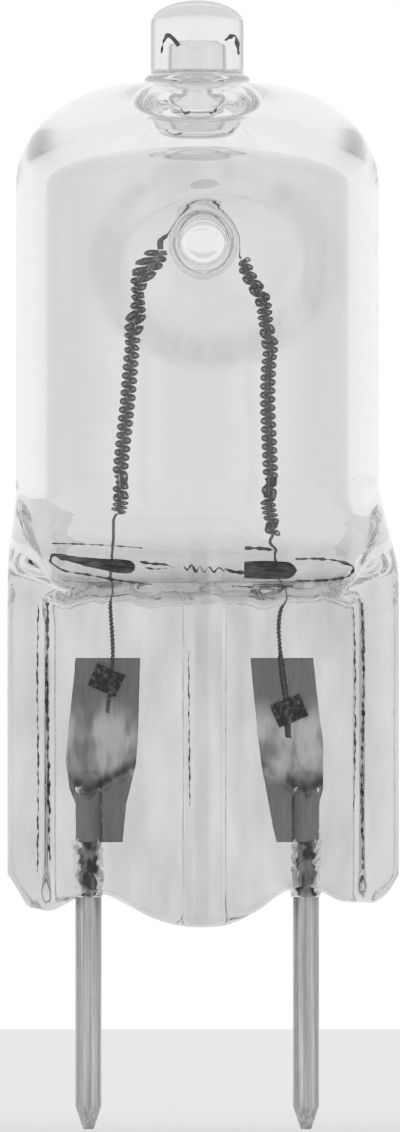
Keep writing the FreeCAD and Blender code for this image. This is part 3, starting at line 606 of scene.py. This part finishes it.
# Each fold from end to end, as x, level and half its width
FOLD_SHADE_LINES = [
    [(-5.38, 12.2, 0.03), (-5.3, 12.42, 0.05), (-4.9, 12.36, 0.09), (-4.2, 12.22, 0.15), (-3.4, 12.1, 0.21),
     (-2.75, 12.03, 0.25), (-2.4, 12.0, 0.2), (-2.28, 11.99, 0.06)],
    [(-5.38, 12.2, 0.03), (-5.04, 11.95, 0.04), (-4.0, 11.72, 0.035), (-2.8, 11.5, 0.03),
     (-1.66, 11.36, 0.015)],
    [(-5.3, 12.86, 0.012), (-4.2, 12.84, 0.02), (-3.0, 12.78, 0.018), (-2.0, 12.7, 0.01)],
    [(-2.1, 12.2, 0.02), (-1.66, 12.13, 0.05), (-1.2, 12.1, 0.03), (-0.8, 11.98, 0.01)],
    [(-1.9, 11.98, 0.015), (-1.5, 11.93, 0.04), (-1.1, 11.96, 0.01)],
    [(-0.5, 12.06, 0.01), (-0.37, 11.9, 0.035), (-0.2, 12.08, 0.02), (-0.05, 11.84, 0.03), (0.1, 12.02, 0.015),
     (0.25, 11.82, 0.03), (0.45, 12.0, 0.02), (0.6, 11.82, 0.03), (0.8, 11.98, 0.03), (1.0, 11.84, 0.02)],
    [(1.0, 11.95, 0.02), (1.3, 11.84, 0.05), (1.74, 11.8, 0.03)],
    [(1.72, 11.9, 0.3), (2.2, 11.9, 0.33), (3.0, 11.89, 0.32), (3.4, 11.88, 0.28), (3.6, 11.88, 0.12),
     (3.66, 11.88, 0.02)],
    [(1.74, 12.7, 0.05), (2.4, 12.68, 0.06), (2.97, 12.6, 0.02)],
    [(3.6, 12.3, 0.02), (4.5, 12.3, 0.035), (5.3, 12.18, 0.05), (5.72, 11.95, 0.05), (5.6, 11.72, 0.045),
     (5.07, 11.56, 0.035), (4.2, 11.5, 0.03), (3.5, 11.5, 0.02)],
    [(1.28, 11.3, 0.015), (2.4, 11.26, 0.025), (3.5, 11.3, 0.012)],
    [(-5.83, 10.6, 0.02), (-5.86, 8.0, 0.02), (-5.83, 5.0, 0.02), (-5.85, 0.8, 0.02)],
    [(-5.5, 10.7, 0.035), (-5.55, 8.0, 0.035), (-5.5, 5.0, 0.035), (-5.45, 1.2, 0.03)],
    [(6.06, 10.7, 0.035), (6.1, 8.0, 0.035), (6.04, 4.0, 0.035), (6.08, 0.9, 0.03)],
    [(5.76, 10.5, 0.02), (5.8, 8.0, 0.02), (5.78, 4.5, 0.02), (5.75, 3.0, 0.01)],
    [(-0.3, 8.9, 0.01), (-0.28, 6.0, 0.018), (-0.26, 3.2, 0.015)],
    [(-1.29, 30.85, 0.03), (-1.2, 31.3, 0.03), (-1.05, 31.5, 0.05), (-0.85, 31.35, 0.06), (-0.66, 31.1, 0.04)],
    [(1.0, 31.3, 0.02), (1.15, 31.42, 0.05), (1.35, 31.5, 0.03), (1.45, 31.2, 0.05), (1.5, 30.8, 0.03)],
    [(-0.9, 29.72, 0.02), (0.0, 29.62, 0.02), (0.9, 29.72, 0.02)],
]
fold_shade_runs = []
for order, points in enumerate(FOLD_SHADE_LINES):
    path = smooth_path([(x, 0, level, half) for x, level, half in points], 0.04)
    # The finer a fold is, the more it's broken up
    along = path[:, 0] + path[:, 2]
    broken = 0.9 * np.sin(5.3 * along + order) * np.sin(13.7 * along) + 0.4 * np.sin(2.1 * along + 2 * order)
    uneven = 1 + broken * np.clip(0.045 / path[:, 3] - 0.2, 0, 1)
    path[:, 0] += 0.012 * np.sin(7 * path[:, 2] + order) * (path[:, 2] < 11)
    fold_shade_runs.append((path[:, :3], np.maximum(path[:, 3] * uneven, LEAST_FOLD)))
fold_shade_mesh = drawn_wire("painted_fold_shade_strips", fold_shade_runs)
for corner in fold_shade_mesh.verts:
    x, level = corner.co.x / MM, corner.co.z / MM
    skin_depth = seal_depth(x, level, (x - shoulder_shift(level)) / shoulder_x(level))
    if level > SHOULDER_LEVEL:
        skin_depth = math.sqrt(NECK ** 2 - x ** 2)
    corner.co.y = -(skin_depth - FOLD_COVER) * MM + corner.co.y * FOLD_FLATNESS
# Painted shade: the strips are dark grey, broken up by noise.
painted_fold_shade, spot = finish("painted_fold_shade", (0.1, 0.1, 0.1), Roughness=0.2)
vary(painted_fold_shade, "Base Color", spot.noise((1500, 1500, 6000), 3.0).between(0.4, 0.7) * 0.22 + 0.05)
place("painted_fold_shade_strips", fold_shade_mesh, painted_fold_shade, "envelope")

# Studio: a white backdrop all behind the bulb, a soft box at each side of the camera and dim gaps between them,
# which draw the streaks on the pins and the fine dark lines in the quartz.
world = bpy.data.worlds.new("studio")
bpy.context.scene.world = world
world.use_nodes = True
backdrop = world.node_tree.nodes["Background"]
backdrop.inputs["Color"].default_value = (1, 1, 1, 1)
direction = Tone(world.node_tree).node("ShaderNodeTexCoord", output=0)
side_way, deep_way, up_way = (direction.node("ShaderNodeSeparateXYZ", {}, {0: direction}, output=index)
                              for index in range(3))
below = up_way.between(-0.05, -0.5)
turn = direction.maths("ARCTAN2", direction.maths("ABSOLUTE", side_way), deep_way * -1.0) * (180 / math.pi)
front_gap = turn.between(30, 18)
side_gap = turn.between(60, 85) * turn.between(135, 110)
shade = 1.0 - 0.38 * front_gap - 0.5 * side_gap - 0.3 * below
camera_ray = direction.node("ShaderNodeLightPath", output=0)
world.node_tree.links.new(direction.maths("MAXIMUM", shade, camera_ray).socket, backdrop.inputs["Strength"])

# Floor: a plain sheet of pale card just under the pins' tips, lit by the studio and by a faint light of its own
# that keeps it near the white of the backdrop. The bulb doesn't stand on it, because it's held by its pins.
FLOOR_LEVEL, FLOOR_HALF = -8.9, 160
floor_mesh = bmesh.new()
bmesh.ops.create_grid(floor_mesh, x_segments=1, y_segments=1, size=FLOOR_HALF * MM,
                      matrix=Matrix.Translation((0, 0, FLOOR_LEVEL * MM)))
pale_card = finish("pale_card", (0.85, 0.85, 0.85), Roughness=0.8, Emission_Color=(1, 1, 1, 1),
                   Emission_Strength=0.1)[0]
floor_sheet = bpy.data.meshes.new("floor_sheet")
floor_mesh.to_mesh(floor_sheet)
floor_mesh.free()
floor_sheet.materials.append(pale_card)
floor = bpy.data.objects.new("floor_sheet", floor_sheet)
bpy.context.scene.collection.objects.link(floor)
